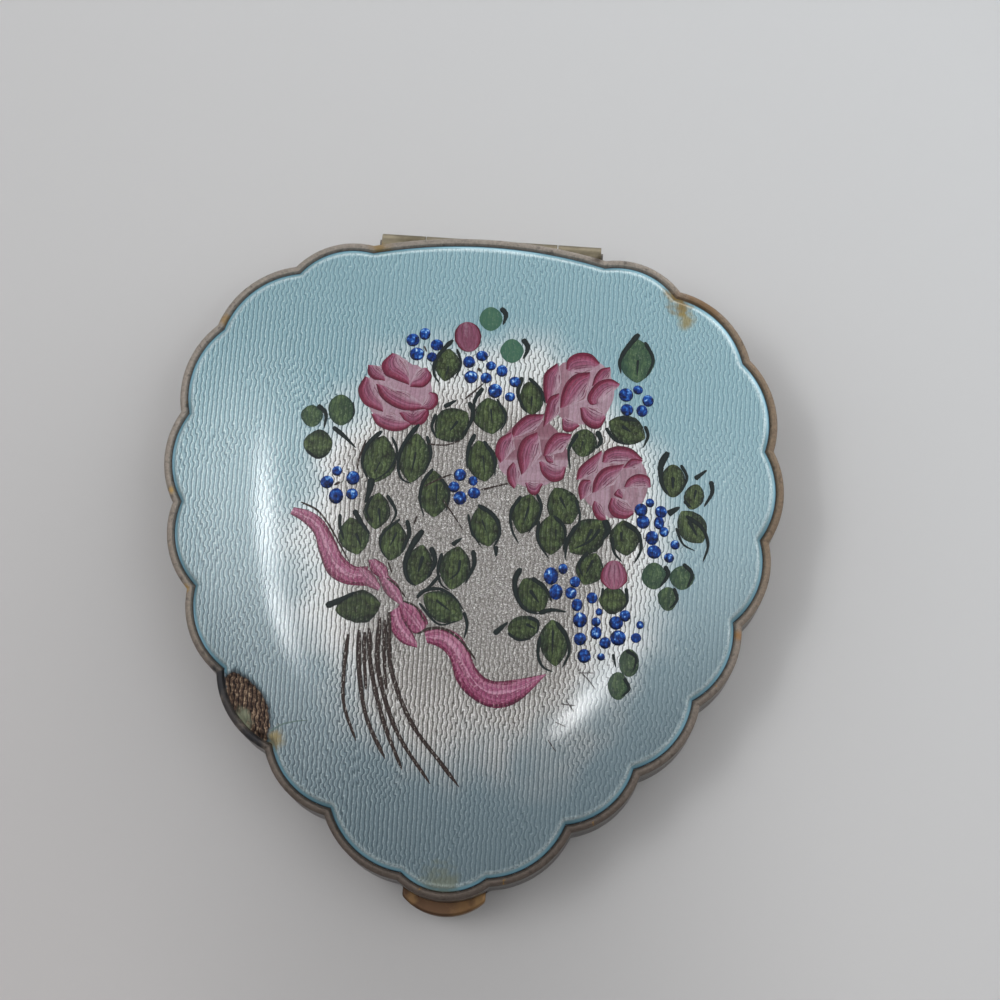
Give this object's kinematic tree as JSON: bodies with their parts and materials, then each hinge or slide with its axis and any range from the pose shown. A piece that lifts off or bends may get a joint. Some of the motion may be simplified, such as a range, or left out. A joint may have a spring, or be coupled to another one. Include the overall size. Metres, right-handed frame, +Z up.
{
  "type": "compact mirror",
  "caption": "Scalloped shield-shaped powder compact with a domed enamelled lid on a rear hinge, a mirror inside the lid, a powder well with sifter and puff, and a press catch at the front.",
  "frame": {"origin": "middle of the flat underside, halfway between the front and rear lobes", "axes": "+Y from the thumb catch to the hinge, +Z up out of the lid, +X to the right seen from above"},
  "size_m": [0.0604, 0.0671, 0.0138],
  "materials": {
    "plated_shell": "brass sheet under worn pewter-grey plating",
    "gilt_metal": "gilt brass sheet, satin",
    "gauze": "fine wire gauze",
    "velour": "cotton velour pile",
    "satin": "woven satin ribbon",
    "worn_brass": "aged brass",
    "steel": "drawn wire",
    "engine_turned_silver": "engine-turned brass plate, silvered",
    "enamel": "translucent fired enamel, glossy",
    "mirror": "silvered glass",
    "card": "plain grey-brown card"
  },
  "bodies": {
    "base": {"base_shell": "plated_shell", "inner_tray": "gilt_metal", "powder_pan": "gilt_metal", "sifter_ring": "gilt_metal", "sifter_gauze": "gauze", "powder_puff": "velour", "puff_ribbon": "satin", "base_hinge_leaf": "worn_brass", "hinge_pin": "steel", "catch_guide": "gilt_metal", "catch_spring": "steel"},
    "lid": {"lid_shell": "plated_shell", "guilloche_plaque": "engine_turned_silver", "enamel_layer": "enamel", "mirror_frame": "gilt_metal", "mirror_glass": "mirror", "backing_card": "card", "lid_hinge_leaf": "worn_brass", "lid_keeper": "gilt_metal"},
    "catch": {"thumb_piece": "worn_brass", "catch_hook": "gilt_metal"}
  },
  "joints": [
    {"name": "lid_hinge", "type": "hinge", "parent": "base", "child": "lid", "pos_m": [0, 0.03227, 0.00507], "axis": [-1, 0, 0], "range_deg": [0, 115]},
    {"name": "thumb_press", "type": "slide", "parent": "base", "child": "catch", "axis": [0, 1, 0], "range_m": [0, 0.00075], "stiffness_N_per_m": 500, "deforming": ["catch_spring"]}
  ]
}
